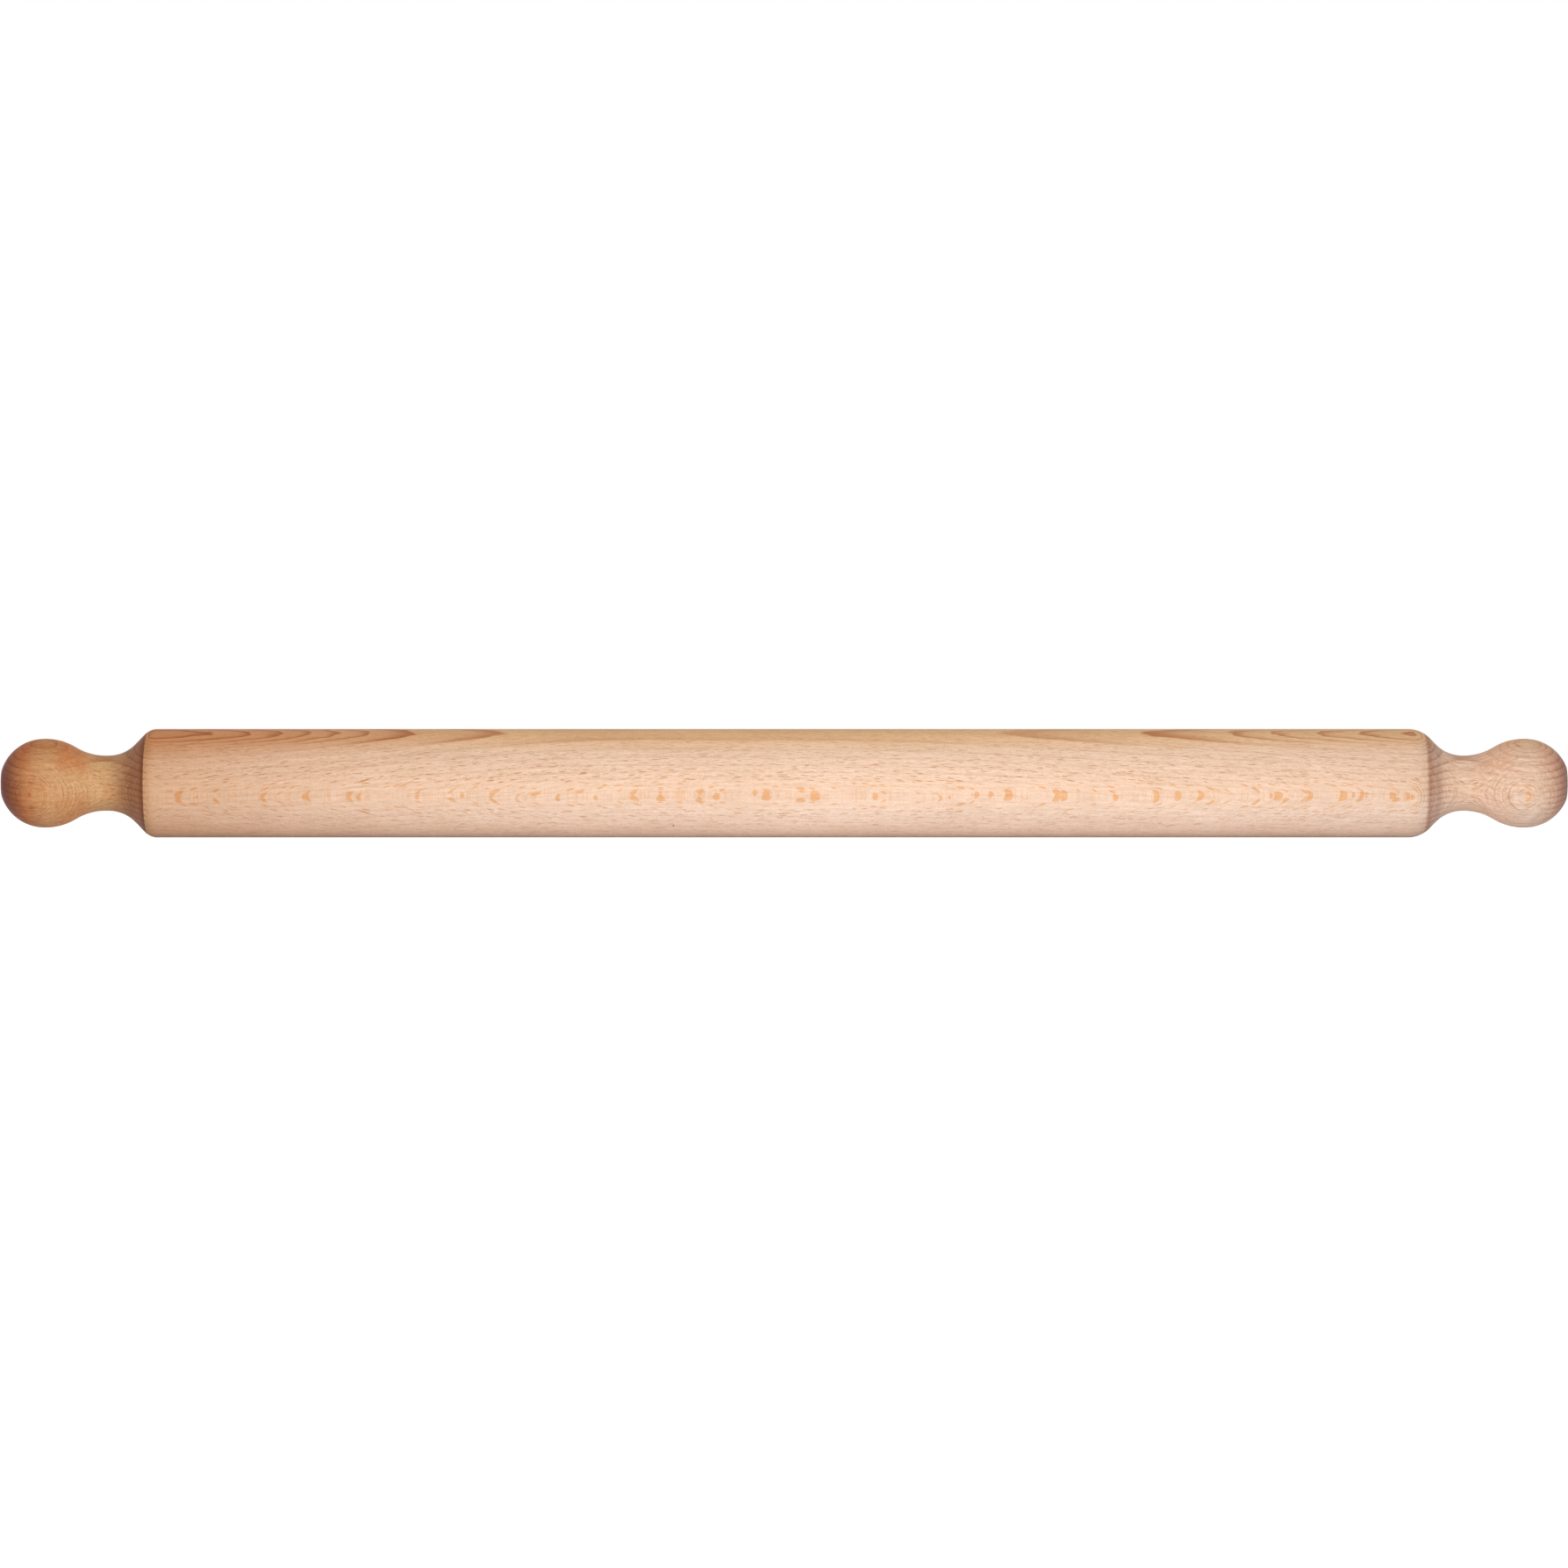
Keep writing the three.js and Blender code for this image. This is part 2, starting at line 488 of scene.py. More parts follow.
def barrel_end(sizes, shoulder, rounding, parting):
    """One end of the barrel, from the drill point of its socket, round the mouth and over the shoulder."""
    socket = sizes.tenon_diameter / 2 + sizes.glue_gap
    socket_end = shoulder + sizes.tenon_length + sizes.glue_room
    round_middle = (shoulder + rounding * math.sin(parting), sizes.barrel_diameter / 2 - rounding)
    return [
        (socket_end + socket / math.tan(sizes.drill_point / 2), 0),
        (socket_end, socket),
        (shoulder, socket),
        *arc(round_middle, rounding, -parting, 0, sizes.arc_step),
    ]


def at_left(sizes, outline):
    """An outline of the left end, put in its place."""
    return [(x - sizes.pin_length / 2, radius) for x, radius in outline]


def at_right(sizes, outline):
    """An outline of the right end, turned round to follow on from the left."""
    return [(sizes.pin_length / 2 - x, radius) for x, radius in reversed(outline)]


def barrel_outline(sizes):
    """The whole barrel, with rings along its straight stretch."""
    half = sizes.pin_length / 2
    left_end = barrel_end(sizes, LEFT_SHOULDER + half, sizes.left_round, sizes.left_parting)
    right_end = barrel_end(sizes, half - RIGHT_SHOULDER, sizes.right_round, sizes.right_parting)
    left = at_left(sizes, left_end)
    right = at_right(sizes, right_end)
    start = left[-1][0]
    run = right[0][0] - start
    rings = round(run / sizes.barrel_step)
    straight = [(start + run * i / rings, sizes.barrel_diameter / 2) for i in range(1, rings)]
    return [*left, *straight, *right]


# Wood, with its sizes and places in millimetres


# Where the heart of the tree ran: above the pin and a little in front of it. It comes down towards
# both ends, so the growth rings run out of the barrel's top in long points.
HEART_FORWARD = 52
HEART_ABOVE = 130
HEART_DISTANCE = 140
LEFT_SAG = 10.5
LEFT_SAG_STRETCH = (60, 250)
RIGHT_SLOPE = 0.0506
RIGHT_SLOPE_FROM = 60
RIGHT_SLOPE_EASE = 40

# The fibres spread towards both ends, and lean over on the left handle
SPREAD = 0.04
SPREAD_EASE = 60
LEAN = -0.28
LEAN_FROM = 240
LEAN_EASE = 8

# Waves in the rings and in the fibres: their sizes along each axis, and how far they reach
WANDER_SIZES = (50, 20, 20)
WANDER_REACH = 0.15
RAGGED_SIZES = (12, 3, 3)
RAGGED_REACH = 0.25
SWAY_SIZES = (25, 8, 8)
SWAY_REACH = 0.3

# How squarely a surface has to face a ring, a ray or the fibres' ends before that cut shows
FLAT_CUT = (0.87, 0.995)
FACE_CUT = (0.93, 0.995)
END_CUT = (0.12, 0.6)

# The left ball's outer half, which gets painted shade as it faces away from the light, darker below than on
# top
OUTER_SHADE_STRETCH = (272, 292)
OUTER_SHADE_HEIGHT = (-2, 8)
OUTER_SHADE_TOP = 0.65


class Spot:
    """A point of the surface: where it lies on the pin and in the tree, and how the wood is cut there."""

    def __init__(self, sheet):
        coordinates = sheet.node("ShaderNodeTexCoord")
        x, y, z = [axis / MM for axis in sheet.split(sheet.out(coordinates, "Object"))]
        facing_x, facing_y, facing_z = sheet.split(sheet.out(coordinates, "Normal"))
        self.x = x
        self.y = y
        self.z = z
        self.facing_z = facing_z

        # Place on the pin
        self.handle = sheet.out(sheet.node("NodeGroupInput"), "Handle")
        self.on_left = sheet.sum("LESS_THAN", x, 0.0)
        self.from_left = abs(x - LEFT_SHOULDER / MM)
        # The left ball's outer half, which gets painted shade as it faces away from the light
        self.root = sheet.ramp(-x, OUTER_SHADE_STRETCH) * sheet.ramp(z, OUTER_SHADE_HEIGHT, (1.0, OUTER_SHADE_TOP))

        # Distance from the heart
        right_run = x - RIGHT_SLOPE_FROM
        right_sag = (right_run + sheet.soft_size(right_run, RIGHT_SLOPE_EASE)) * (RIGHT_SLOPE / 2)
        left_sag = sheet.ramp(-x, LEFT_SAG_STRETCH, (0.0, LEFT_SAG))
        out_y = y + HEART_FORWARD
        out_z = z - HEART_ABOVE + (right_sag + left_sag)
        distance = sheet.sum("SQRT", out_y**2 + out_z**2)
        wander = sheet.noise((x, y, z), WANDER_SIZES) * WANDER_REACH
        ragged = sheet.noise((x, y, z), RAGGED_SIZES) * RAGGED_REACH
        self.radius = distance + wander + ragged

        # Way round the heart
        past_barrel = -x - LEAN_FROM
        lean = (past_barrel + sheet.soft_size(past_barrel, LEAN_EASE)) * (LEAN / 2)
        spread = sheet.soft_size(x, SPREAD_EASE) * SPREAD
        sway = sheet.noise((x, y, z), SWAY_SIZES) * SWAY_REACH
        turn = sheet.sum("ARCTAN2", out_y, -out_z)
        self.round_heart = turn * HEART_DISTANCE + sway + spread + lean
        self.in_tree = (x, self.round_heart, self.radius)

        # How the surface is cut: flat through a ring, along a ray's face or across the fibres
        through_ring = abs(facing_y * out_y + facing_z * out_z) / distance
        along_ray = abs(facing_z * out_y - facing_y * out_z) / distance
        self.across_fibre = abs(facing_x)
        # How much the surface faces out towards the pin's nearer end; wood that faces out gets painted shade
        self.outwards = facing_x * sheet.sum("SIGN", x)
        self.off_face = 1.0 - along_ray
        self.flat_cut = sheet.ramp(through_ring, FLAT_CUT)
        self.face_cut = sheet.ramp(along_ray, FACE_CUT)
        self.end_cut = sheet.ramp(self.across_fibre, END_CUT)


# Stretches along the pin, up it and out from the heart over which the ground colour changes, and the most
# that a tint shows
# The left end is warmer and darker: the darkening is painted shade where the light falls off to the left
WARM_FROM = -243
WARM_FADE = 75
WARM_MOST = 0.61
# The underside is lighter and cooler: painted bounce light that stands in for light from the floor
COOL_HEIGHT = (-14, 1)
COOL_LOST_TO_WARMTH = 0.6
TAN_HEIGHT = (10.3, 20.5)
# The right ball's tip gets painted shade, as it faces away from the light
TIP_STRETCH = (289, 297)
TIP_MOST = 0.4
HEART_STRETCH = (50, 150)
HEART_RADIUS = (110, 119)
BALL_HEART_STRETCH = (262, 282)
BALL_HEART_RADIUS = (113, 116.5)
# The right end gets painted shade where the light falls off
RIGHT_END_STRETCH = (195, 255)
RIGHT_END_HEIGHT = (-12, 0)

# Sloping sides of the balls: most of the tint shows above, less below, and less on the right ball
BALL_STRETCH = (258, 270)
SIDE_SLOPE = (0.08, 0.4)
SIDE_ABOVE = (0.1, 0.6)
SIDE_BELOW = (-0.6, -0.1)
SIDE_BELOW_MOST = 0.5
SIDE_LEAST = 0.15
RIGHT_SIDE_SHARE = 0.4


def ground(sheet, looks, spot):
    """Ground colour: lighter and cooler below as painted bounce light, tan towards the heart, warmer to the
    left end and darker there by painted shade, with painted shade on the balls' outer ends and at the right
    end.
    """
    x, z = spot.x, spot.z
    warm_shade = sheet.smallest(sheet.sum("EXPONENT", (WARM_FROM - x) / WARM_FADE), 1.0) * WARM_MOST
    # Painted bounce light: the underside is lighter and cooler
    painted_bounce = sheet.ramp(z, COOL_HEIGHT, FALL) * (1.0 - warm_shade * COOL_LOST_TO_WARMTH)
    tip = sheet.ramp(x, TIP_STRETCH, (0.0, TIP_MOST))
    wood = sheet.mix(looks.pale, looks.low, painted_bounce)
    wood = sheet.mix(wood, looks.tan, sheet.ramp(z, TAN_HEIGHT))
    wood = sheet.tint(wood, looks.warm_shaded_tint, warm_shade)
    # Painted shade on the left ball's outer half and on the right tip
    wood = sheet.tint(wood, looks.outer_end_shade_tint, spot.root + tip)
    wood = sheet.tint(wood, looks.left_tint, spot.handle * spot.on_left)

    above = sheet.ramp(spot.facing_z, SIDE_ABOVE)
    below = sheet.ramp(spot.facing_z, SIDE_BELOW, (SIDE_BELOW_MOST, 0.0))
    side = sheet.ramp(spot.across_fibre, SIDE_SLOPE) * sheet.smallest(above + below + SIDE_LEAST, 1.0)
    side = side * spot.handle * sheet.ramp(abs(x), BALL_STRETCH)
    side = side * (spot.on_left * (1.0 - RIGHT_SIDE_SHARE) + RIGHT_SIDE_SHARE)
    wood = sheet.tint(wood, looks.side_tint, side)

    barrel_heart = sheet.ramp(spot.radius, HEART_RADIUS, FALL) * sheet.ramp(-x, HEART_STRETCH)
    ball_heart = sheet.ramp(spot.radius, BALL_HEART_RADIUS, FALL) * sheet.ramp(-x, BALL_HEART_STRETCH)
    wood = sheet.tint(wood, looks.heart_tint, sheet.largest(barrel_heart, ball_heart))
    # Painted shade at the right end
    right_end = sheet.ramp(x, RIGHT_END_STRETCH) * sheet.ramp(z, RIGHT_END_HEIGHT)
    return sheet.tint(wood, looks.right_end_shade_tint, right_end)


# The tree grew slowly at first, and faster past this distance from its heart
FAST_RADIUS = 114.3
FAST_EASE = 0.6
RING_OFFSET = 0.6

# A ring darkens slowly and then quickly through its year, and is pale again at the year's end, which
# comes sooner in the middle of the pin
SLOW_SEASON = (0.1, 0.95)
SLOW_DARKNESS = 0.35
QUICK_SEASON = (0.55, 0.93)
QUICK_DARKNESS = 0.65
WEAKEST_RING = 0.75
NEAR_END = (40, 140)
DARK_UNTIL = (0.8, 0.94)

# How much of the rings each cut shows
FLAT_SHOWS = (0.2, 1.0)
HANDLE_FLAT_LOSS = 0.45
RIGHT_STRETCH = (0, 100)
RIGHT_FLAT_SHOWS = (1.0, 0.75)
END_FACING = (0.1, 0.5)
END_SHOWS = (0.08, 0.42)
FRONT_HEIGHT = (-6, 6)
FRONT_SHOWS = (0.1, 0.19)


def growth_rings(sheet, looks, spot):
    """Darkness of the growth rings, and how much of it the surface shows."""
    near_end = abs(spot.x)
    past = spot.radius - FAST_RADIUS
    beyond = sheet.soft_size(past, FAST_EASE)
    years = (past + beyond) / (2 * looks.ring_width) + (past - beyond) / (2 * looks.slow_width) + RING_OFFSET
    season = sheet.sum("FRACT", years)
    strength = sheet.chance(sheet.sum("FLOOR", years)) * (1.0 - WEAKEST_RING) + WEAKEST_RING
    slowly = sheet.ramp(season, SLOW_SEASON, (0.0, SLOW_DARKNESS))
    quickly = sheet.ramp(season, QUICK_SEASON, (0.0, QUICK_DARKNESS))
    dark_until = sheet.ramp(near_end, NEAR_END, DARK_UNTIL)
    late = (slowly + quickly) * sheet.ramp(season, (dark_until, 1.0), FALL) * strength

    flat_shows = spot.flat_cut * sheet.ramp(near_end, NEAR_END, FLAT_SHOWS)
    flat_shows = flat_shows * (1.0 - spot.handle * HANDLE_FLAT_LOSS)
    flat_shows = flat_shows * sheet.ramp(spot.x, RIGHT_STRETCH, RIGHT_FLAT_SHOWS)
    end_shows = spot.end_cut * sheet.ramp(spot.outwards, END_FACING, END_SHOWS)
    front_shows = sheet.ramp(spot.z, FRONT_HEIGHT, FRONT_SHOWS)
    return late, sheet.smallest(flat_shows + end_shows + front_shows, 1.0)


# Usual distances between two rays, along the fibres and round the heart. Each row of rays is set
# along from the row beside it, so that no columns show.
RAY_STEP = 6.0
RAY_GAP = 0.2
RAY_STAGGER = 18.5

# Half the length and half the thickness of a ray, each with a part that differs from ray to ray, what
# is added to the thickness where a ray is cut along its face, and its soft edge
RAY_REACH = 1.1
RAY_EXTRA_REACH = 1.1
RAY_THICKNESS = 0.02
RAY_EXTRA_THICKNESS = 0.075
FLECK_THICKNESS = 0.012
RAY_EDGE = (0.7, 1.0)

# What else is added to the larger rays where the surface lies along them, and over which sizes, slants
# and places along the pin it comes in
BROAD_THICKNESS = 0.1
BROAD_REACH = 0.5
BROAD_SIZE = (0.3, 0.5)
BROAD_OFF_FACE = (0.001, 0.006)
BROAD_STRETCH = (-215, -170)

# Rays whose chance is below this are left out: more of them at the barrel's left end, most below
RAY_CHANCE = (0.42, 0.47)
SPARSE_STRETCH = (140, 220)
SPARSE_HEIGHT = (-4, 4)
SPARSE_SHARES = (0.19, 0.13)

# Rays are fainter underneath, and where the fibres are cut across, above all on the right
LOW_RAY_HEIGHT = (-16, -6)
LOW_RAY_SHOWS = (0.75, 1.0)
RAY_SLOPE = (0.1, 0.4)
RIGHT_RAY_LOSS = 0.55
LEFT_RAY_LOSS = 0.15


def large_rays(sheet, spot):
    """Rays: thin upright sheets that show as dashes, and as broad flecks where they are cut along."""
    staggered = spot.x + spot.round_heart * RAY_STAGGER
    cells = sheet.node(
        "ShaderNodeTexVoronoi",
        {"Vector": sheet.point(staggered / RAY_STEP, spot.round_heart / RAY_GAP, 0.0), "Scale": 1.0},
        voronoi_dimensions="2D",
    )
    place, row, _ = sheet.split(sheet.out(cells, "Position"))
    chance, size, depth = sheet.split(sheet.out(cells, "Color"))
    ray_round = row * RAY_GAP
    ray_x = place * RAY_STEP - ray_round * RAY_STAGGER
    broad = sheet.ramp(spot.off_face, BROAD_OFF_FACE, FALL) * sheet.ramp(size, BROAD_SIZE)
    broad = broad * sheet.ramp(spot.x, BROAD_STRETCH)
    along = (spot.x - ray_x) / (size * RAY_EXTRA_REACH + RAY_REACH + broad * BROAD_REACH)
    thickness = depth**2 * RAY_EXTRA_THICKNESS + RAY_THICKNESS + spot.face_cut * FLECK_THICKNESS
    thickness = thickness + broad * BROAD_THICKNESS
    across = abs(spot.round_heart - ray_round) / thickness

    sparse = sheet.ramp(-spot.x, SPARSE_STRETCH) * sheet.ramp(spot.z, SPARSE_HEIGHT, SPARSE_SHARES)
    sparse = sparse * (1.0 - spot.handle) * (1.0 - spot.face_cut)
    ray = sheet.ramp(along**2 + across, RAY_EDGE, FALL) * sheet.ramp(chance - sparse, RAY_CHANCE)
    loss = spot.on_left * (LEFT_RAY_LOSS - RIGHT_RAY_LOSS) + RIGHT_RAY_LOSS
    ray = ray * (1.0 - sheet.ramp(spot.across_fibre, RAY_SLOPE) * loss)
    return ray * sheet.ramp(spot.z, LOW_RAY_HEIGHT, LOW_RAY_SHOWS)


# Small rays, and faint marks on the line where the surface lies along the rays
SMALL_RAY_SIZES = (1.5, 0.11, 30)
SMALL_RAY_EDGE = (-0.05, 0.4)
SMALL_RAY_SHOWS = 0.3
HANDLE_SMALL_RAY = 0.14
LEFT_SMALL_RAY = 0.22
END_SMALL_RAY_LOSS = 0.5
FACE_MARK_SIZES = (0.75, 1.0, 1.0)
FACE_MARK_SLICE = 7.0
FACE_MARK_NARROWING = 30.0
FACE_MARK_EDGE = (0.0, 0.3)
FACE_MARK_SHOWS = 0.42


def small_rays(sheet, spot):
    """Small rays, which are seen as a fine fleck all over."""
    shows = spot.handle * (spot.on_left * LEFT_SMALL_RAY + HANDLE_SMALL_RAY) + SMALL_RAY_SHOWS
    shows = shows * (1.0 - spot.end_cut * END_SMALL_RAY_LOSS)
    return sheet.ramp(sheet.noise(spot.in_tree, SMALL_RAY_SIZES), SMALL_RAY_EDGE) * shows


def face_marks(sheet, spot):
    """Faint upright marks on the line where the surface lies along the rays."""
    marks = sheet.noise((spot.x, spot.round_heart, FACE_MARK_SLICE), FACE_MARK_SIZES)
    return sheet.ramp(marks - spot.off_face * FACE_MARK_NARROWING, FACE_MARK_EDGE, (0.0, FACE_MARK_SHOWS))


# Fine grain: the sizes of its features along the fibres, round the heart and out from it, and its strength
SHEET_SIZES = (9.0, 0.09, 30)
SHEET_STRENGTH = 0.06
HATCH_SIZES = (20.0, 0.45, 40)
HATCH_STRENGTH = 0.2
STREAK_SIZES = (11.0, 0.75, 0.75)
STREAK_STRENGTH = 0.115
HANDLE_STREAK = 0.13
FIBRE_SIZES = (4.0, 0.3, 0.3)
FIBRE_DETAIL = 2.0
FIBRE_STRENGTH = 0.1
HANDLE_FIBRE = 0.07
PORE_SIZES = (0.5, 0.3, 0.3)
PORE_STRENGTH = 0.13
CLOUD_SIZES = (45, 9, 9)
CLOUD_STRENGTH = 0.05
GRAIN_LEVEL = 1.04

# Darker grain is also redder, so green and blue change more than red
GREEN_POWER = 1.4
BLUE_POWER = 1.9


def fine_grain(sheet, spot, fibres):
    """Tint of thin sheets, streaks, fibres and pores, and of a slow change of tone."""
    place = spot.in_tree
    tone = sheet.noise(place, SHEET_SIZES) * SHEET_STRENGTH + GRAIN_LEVEL
    tone = tone + sheet.noise(place, HATCH_SIZES) * spot.end_cut * HATCH_STRENGTH
    tone = tone + sheet.noise(place, STREAK_SIZES) * (spot.handle * HANDLE_STREAK + STREAK_STRENGTH)
    tone = tone + fibres * (spot.handle * HANDLE_FIBRE + FIBRE_STRENGTH)
    tone = tone + sheet.noise(place, PORE_SIZES) * PORE_STRENGTH
    tone = tone + sheet.noise(place, CLOUD_SIZES) * CLOUD_STRENGTH
    return sheet.point(tone, tone**GREEN_POWER, tone**BLUE_POWER)


# End grain on the balls' ends, with painted shade on the sides that face outwards, away from the light; it
# starts sooner and is darker on the left ball's outer half, where the painted shade is deepest. End grain and
# painted shade in the left cove
BALL_END_FACING = 0.5
OUTER_SHADE_END_FACING = 0.2
BALL_END_MOST = 0.72
END_FACE_FACING = (0.84, 0.98)
OUTSIDE_LEFT_COVE = (14, 20)
LEFT_COVE = (3.5, 18)
LEFT_COVE_MOST = 0.59

# Warm edge on the barrel, and the dark line on the handles' side of the shoulders, widened into painted shade
# in the crease, which is fainter and set a little out on the right
LEFT_EDGE = (1, 5)
SHOULDER_LINE = (0.4, 2.6)
RIGHT_LINE_SHIFT = 1.2
RIGHT_LINE_FADE = 0.6


def end_grain(sheet, looks, spot, wood):
    """Darker wood where it is cut across its fibres, with painted shade on the outward-facing ends and in the
    left cove, and painted shade in the crease at the shoulders.
    """
    # Painted shade and end grain on the ends that face outwards
    start = spot.root * (OUTER_SHADE_END_FACING - BALL_END_FACING) + BALL_END_FACING
    ball_end_grain_and_shade = sheet.ramp(spot.outwards, (start, 1.0)) * (spot.root * (1.0 - BALL_END_MOST) + BALL_END_MOST)
    ball_end_grain_and_shade = ball_end_grain_and_shade * sheet.ramp(spot.from_left, OUTSIDE_LEFT_COVE) * spot.handle
    end_grain_shade_tint = sheet.mix(looks.end_grain_shade_tint, looks.end_face_tint, sheet.ramp(spot.outwards, END_FACE_FACING))
    wood = sheet.tint(wood, end_grain_shade_tint, ball_end_grain_and_shade)
    # Painted shade and end grain in the left cove
    left_cove_shade = sheet.ramp(spot.from_left, LEFT_COVE, (LEFT_COVE_MOST, 0.0)) * spot.handle
    wood = sheet.tint(wood, looks.left_cove_shade_tint, left_cove_shade)

    left_edge = sheet.ramp(spot.from_left, LEFT_EDGE, FALL) * (1.0 - spot.handle)
    wood = sheet.tint(wood, looks.edge_tint, left_edge)
    # Painted shade in the crease at the shoulders
    from_right = abs(spot.x - RIGHT_SHOULDER / MM - RIGHT_LINE_SHIFT) + RIGHT_LINE_FADE
    line = sheet.ramp(sheet.smallest(spot.from_left, from_right), SHOULDER_LINE, FALL) * spot.handle
    return sheet.tint(wood, looks.shoulder_shade_tint, line)


# A small dent and a scratch low on the front: their middles, half their sizes and their soft edges
DENT_X = -42.2
DENT_Z = -16.2
DENT_REACH = 0.6
DENT_HEIGHT = 0.4
DENT_EDGE = (0.4, 1.0)
SCRATCH_X = -47.0
SCRATCH_Z = -17.0
SCRATCH_REACH = 2.6
SCRATCH_HEIGHT = 0.22
SCRATCH_EDGE = (0.5, 1.0)
SCRATCH_DEPTH = 0.5


def small_marks(sheet, spot):
    """The dent and the scratch."""
    x, z = spot.x, spot.z
    dent = sheet.sum("SQRT", ((x - DENT_X) / DENT_REACH) ** 2 + ((z - DENT_Z) / DENT_HEIGHT) ** 2)
    dent = sheet.ramp(dent, DENT_EDGE, FALL)
    scratch = sheet.largest(abs(x - SCRATCH_X) / SCRATCH_REACH, abs(z - SCRATCH_Z) / SCRATCH_HEIGHT)
    scratch = sheet.ramp(scratch, SCRATCH_EDGE, (SCRATCH_DEPTH, 0.0))
    on_front = sheet.sum("LESS_THAN", spot.y, 0.0)
    return sheet.largest(dent, scratch) * on_front


# Depth of the figure, as shares of the bump, and its change of roughness
MARK_DEPTH = 2.0
FIBRE_HEIGHT = 0.5
RAY_DEPTH = 0.6
RING_DEPTH = 0.2
FIBRE_ROUGHNESS = 0.06
RAY_SMOOTHNESS = 0.05
BUMP_STRENGTH = 0.35
BUMP_DISTANCE = 0.04
SHINE = 0.22


def beech_group(looks):
    """Shader group of solid beech: every piece is cut from the same tree, so its figure runs on."""
    tree = bpy.data.node_groups.new("Beech", "ShaderNodeTree")
    tree.interface.new_socket("Handle", in_out="INPUT", socket_type="NodeSocketFloat")
    tree.interface.new_socket("Colour", in_out="OUTPUT", socket_type="NodeSocketColor")
    tree.interface.new_socket("Roughness", in_out="OUTPUT", socket_type="NodeSocketFloat")
    tree.interface.new_socket("Height", in_out="OUTPUT", socket_type="NodeSocketFloat")

    sheet = NodeSheet(tree)
    spot = Spot(sheet)
    late, rings_show = growth_rings(sheet, looks, spot)
    ray = large_rays(sheet, spot)
    small_ray = small_rays(sheet, spot)
    ray_tint = sheet.mix(looks.dash_tint, looks.fleck_tint, spot.face_cut)
    rays_show = sheet.largest(ray, sheet.largest(small_ray, face_marks(sheet, spot)))
    fibres = sheet.noise(spot.in_tree, FIBRE_SIZES, FIBRE_DETAIL)
    mark = small_marks(sheet, spot)

    wood = ground(sheet, looks, spot)
    wood = sheet.tint(wood, looks.ring_tint, late * rings_show)
    wood = sheet.tint(wood, ray_tint, rays_show)
    wood = sheet.tint(wood, fine_grain(sheet, spot, fibres), 1.0)
    wood = end_grain(sheet, looks, spot, wood)
    wood = sheet.tint(wood, looks.mark_tint, mark)
    roughness = fibres * FIBRE_ROUGHNESS - ray * RAY_SMOOTHNESS + looks.roughness
    height = fibres * FIBRE_HEIGHT - mark * MARK_DEPTH - small_ray - ray * RAY_DEPTH - late * RING_DEPTH
    sheet.node("NodeGroupOutput", {"Colour": wood, "Roughness": roughness, "Height": height})
    return tree


def beech(name, looks, handle):
    """A material of the same beech for every piece. On a handle, which is given by 1, end grain shows."""
    material = bpy.data.materials.new(name)
    material.use_nodes = True
    material.node_tree.nodes.clear()
    sheet = NodeSheet(material.node_tree)
    group = bpy.data.node_groups.get("Beech") or beech_group(looks)
    grain = sheet.node("ShaderNodeGroup", node_tree=group)
    port(grain.inputs, "Handle").default_value = handle
    height = sheet.out(grain, "Height")
    bump = sheet.node(
        "ShaderNodeBump", {"Strength": BUMP_STRENGTH, "Distance": BUMP_DISTANCE * MM, "Height": height}
    )
    surface = sheet.node(
        "ShaderNodeBsdfPrincipled",
        {
            "Base Color": sheet.out(grain, "Colour"),
            "Roughness": sheet.out(grain, "Roughness"),
            "Specular IOR Level": SHINE,
            "Normal": sheet.out(bump, "Normal"),
        },
    )
    sheet.node("ShaderNodeOutputMaterial", {"Surface": sheet.out(surface, "BSDF")})
    return material


# Operators


def settle(piece, node):
    """Puts a finished piece in the place of its CAD node."""
    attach(piece, "root")
    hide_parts(node)


class PIN_OT_turn_barrel(Operator):
    """Turn the barrel, with its rounded edges and bored sockets"""

    bl_idname = "pin.turn_barrel"
    bl_label = "Turn barrel"

    def execute(self, context):
        sizes = context.scene.pin_sizes
        wood = beech("Barrel beech", context.scene.pin_wood, 0.0)
        settle(turned("turned_barrel", barrel_outline(sizes), wood, sizes), "barrel")
        return {"FINISHED"}


class PIN_OT_turn_handles(Operator):
    """Turn the two ball handles, each with its tenon"""

    bl_idname = "pin.turn_handles"
    bl_label = "Turn handles"

    def execute(self, context):
        sizes = context.scene.pin_sizes
        wood = beech("Handle beech", context.scene.pin_wood, 1.0)
        left = handle_outline(
            sizes, sizes.left_flat, sizes.left_neck_run, sizes.left_round, sizes.left_parting
        )
        right = handle_outline(
            sizes, sizes.right_flat, sizes.right_neck_run, sizes.right_round, sizes.right_parting
        )
        left_piece = turned("left_ball_handle", at_left(sizes, left), wood, sizes)
        right_piece = turned("right_ball_handle", at_right(sizes, right), wood, sizes)
        settle(left_piece, "left_handle")
        settle(right_piece, "right_handle")
        return {"FINISHED"}


# Stage sizes in metres, and the camera's sensor in millimetres
FLOOR_REACH = 3.0
BACK_LIGHT_DISTANCE = 0.85
LIGHT_LENGTH = 0.5
LIGHT_HEIGHT = 0.03
SENSOR_WIDTH = 36.0


def seen_directly(sheet):
    """1 for rays that show the stage itself: from the camera, or by a reflection or through glass."""
    path = sheet.node("ShaderNodeLightPath")
    camera, glossy, through = [
        sheet.out(path, f"Is {kind} Ray") for kind in ("Camera", "Glossy", "Transmission")
    ]
    return sheet.largest(sheet.largest(camera, glossy), through)


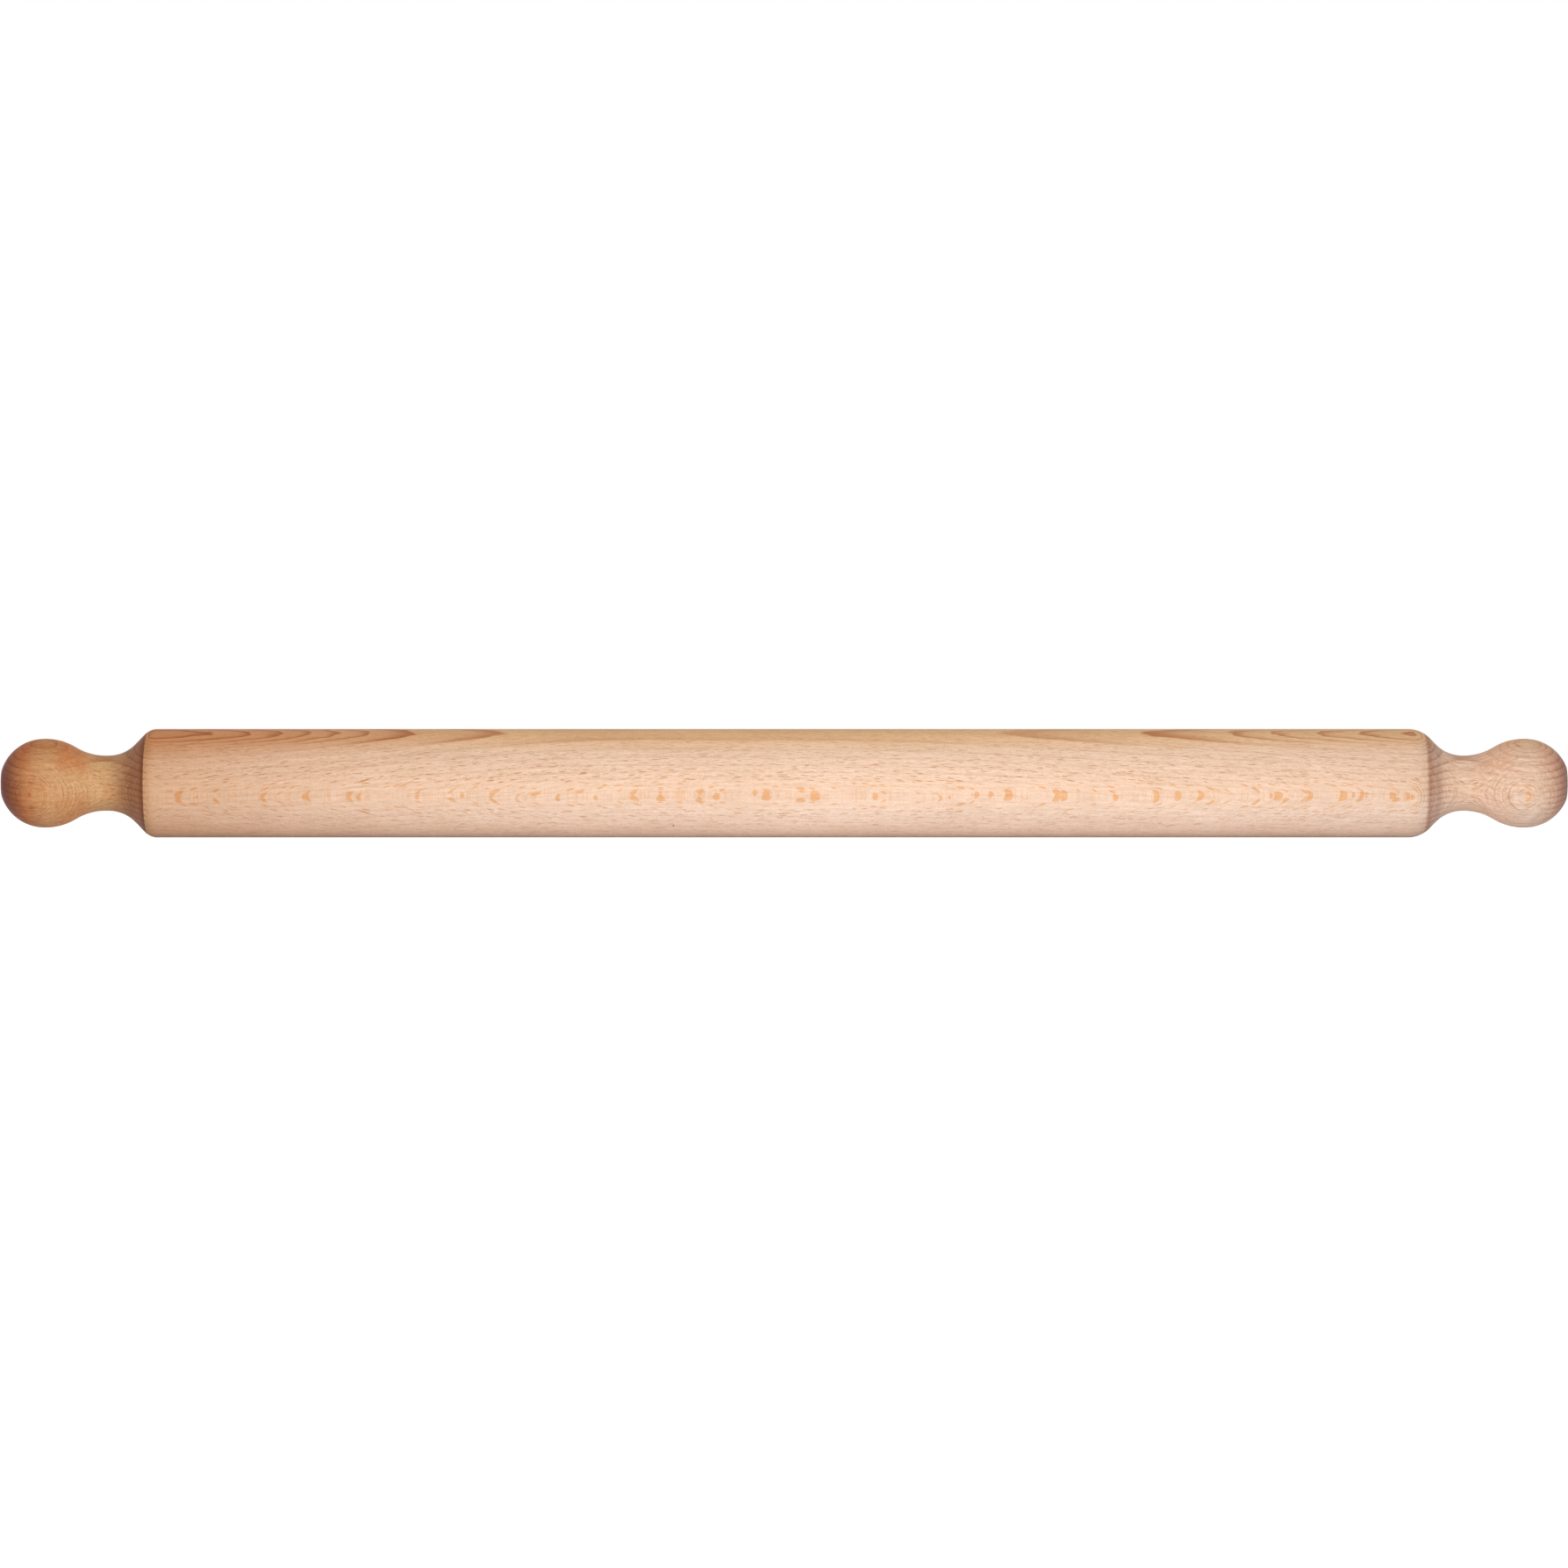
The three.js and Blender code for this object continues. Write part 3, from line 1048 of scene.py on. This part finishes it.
def add_floor(looks, height):
    """A pale floor that shows as white and keeps the pin's shadow."""
    mesh = bpy.data.meshes.new("floor")
    signs = ((-1, -1), (1, -1), (1, 1), (-1, 1))
    corners = [(x * FLOOR_REACH, y * FLOOR_REACH, height) for x, y in signs]
    mesh.from_pydata(corners, [], [(0, 1, 2, 3)])
    floor = bpy.data.objects.new("floor", mesh)
    bpy.context.scene.collection.objects.link(floor)

    material = bpy.data.materials.new("White floor")
    material.use_nodes = True
    material.node_tree.nodes.clear()
    sheet = NodeSheet(material.node_tree)
    matt = sheet.node("ShaderNodeBsdfDiffuse", {"Color": opaque(looks.floor_colour)})
    glow = sheet.node("ShaderNodeEmission", {"Strength": seen_directly(sheet) * looks.floor_lift})
    both = sheet.node(
        "ShaderNodeAddShader", {"Shader": sheet.out(matt, "BSDF"), "Shader_001": sheet.out(glow, "Emission")}
    )
    sheet.node("ShaderNodeOutputMaterial", {"Surface": sheet.out(both, "Shader")})
    mesh.materials.append(material)


def add_sky(looks):
    """White surroundings: full white where they are seen, and an even soft light on the pin."""
    world = bpy.data.worlds.new("White studio")
    world.use_nodes = True
    world.node_tree.nodes.clear()
    sheet = NodeSheet(world.node_tree)
    strength = seen_directly(sheet) * (1.0 - looks.sky_level) + looks.sky_level
    sky = sheet.node("ShaderNodeBackground", {"Color": (1.0, 1.0, 1.0, 1.0), "Strength": strength})
    sheet.node("ShaderNodeOutputWorld", {"Surface": sheet.out(sky, "Background")})
    bpy.context.scene.world = world


def add_light(name, x, y, level):
    """A long low light at the pin's own height, facing it along Y, that gives that share of white."""
    light = bpy.data.lights.new(name, "AREA")
    light.shape = "RECTANGLE"
    light.size = LIGHT_LENGTH
    light.size_y = LIGHT_HEIGHT
    light.energy = level * math.pi**2 * y**2
    lamp = bpy.data.objects.new(name, light)
    lamp.location = (x, y, 0)
    lamp.rotation_euler = (math.copysign(math.pi / 2, -y), 0, 0)
    lamp.visible_camera = False
    bpy.context.scene.collection.objects.link(lamp)


def add_camera(looks):
    """A camera level with the pin that sees it from end to end."""
    camera = bpy.data.cameras.new("camera")
    camera.sensor_width = SENSOR_WIDTH
    camera.lens = SENSOR_WIDTH * looks.camera_distance / looks.view_width
    eye = bpy.data.objects.new("camera", camera)
    eye.location = (0, -looks.camera_distance, looks.camera_height)
    eye.rotation_euler = (math.pi / 2, 0, 0)
    bpy.context.scene.collection.objects.link(eye)
    bpy.context.scene.camera = eye


class PIN_OT_set_stage(Operator):
    """Set the floor, the lights and the camera"""

    bl_idname = "pin.set_stage"
    bl_label = "Set stage"

    def execute(self, context):
        looks = context.scene.pin_stage
        context.scene.view_settings.view_transform = "Standard"
        add_floor(looks, -context.scene.pin_sizes.barrel_diameter / 2)
        add_sky(looks)
        add_light("front_light", looks.key_side, -looks.key_distance, looks.key_level)
        add_light("back_light", 0, BACK_LIGHT_DISTANCE, looks.back_level)
        add_camera(looks)
        return {"FINISHED"}


class PIN_PT_panel(Panel):
    """Lists the steps and the values of the rolling pin"""

    bl_idname = "PIN_PT_panel"
    bl_label = "Rolling pin"
    bl_space_type = "VIEW_3D"
    bl_region_type = "UI"
    bl_category = "Rolling pin"

    def draw(self, context):
        for step in STEPS:
            self.layout.operator(step.bl_idname)
        for holder, group in GROUPS.items():
            box = self.layout.box()
            for name in group.__annotations__:
                box.prop(getattr(context.scene, holder), name)


STEPS = (PIN_OT_turn_barrel, PIN_OT_turn_handles, PIN_OT_set_stage)
GROUPS = {"pin_sizes": PinSizes, "pin_wood": WoodLooks, "pin_stage": StageLooks}
CLASSES = (*GROUPS.values(), *STEPS, PIN_PT_panel)


def register():
    for cls in CLASSES:
        bpy.utils.register_class(cls)
    for holder, group in GROUPS.items():
        setattr(bpy.types.Scene, holder, PointerProperty(type=group))


def unregister():
    for holder in GROUPS:
        delattr(bpy.types.Scene, holder)
    for cls in reversed(CLASSES):
        bpy.utils.unregister_class(cls)


def main():
    register()
    bpy.ops.pin.turn_barrel()
    bpy.ops.pin.turn_handles()
    bpy.ops.pin.set_stage()


if __name__ == "__main__":
    main()
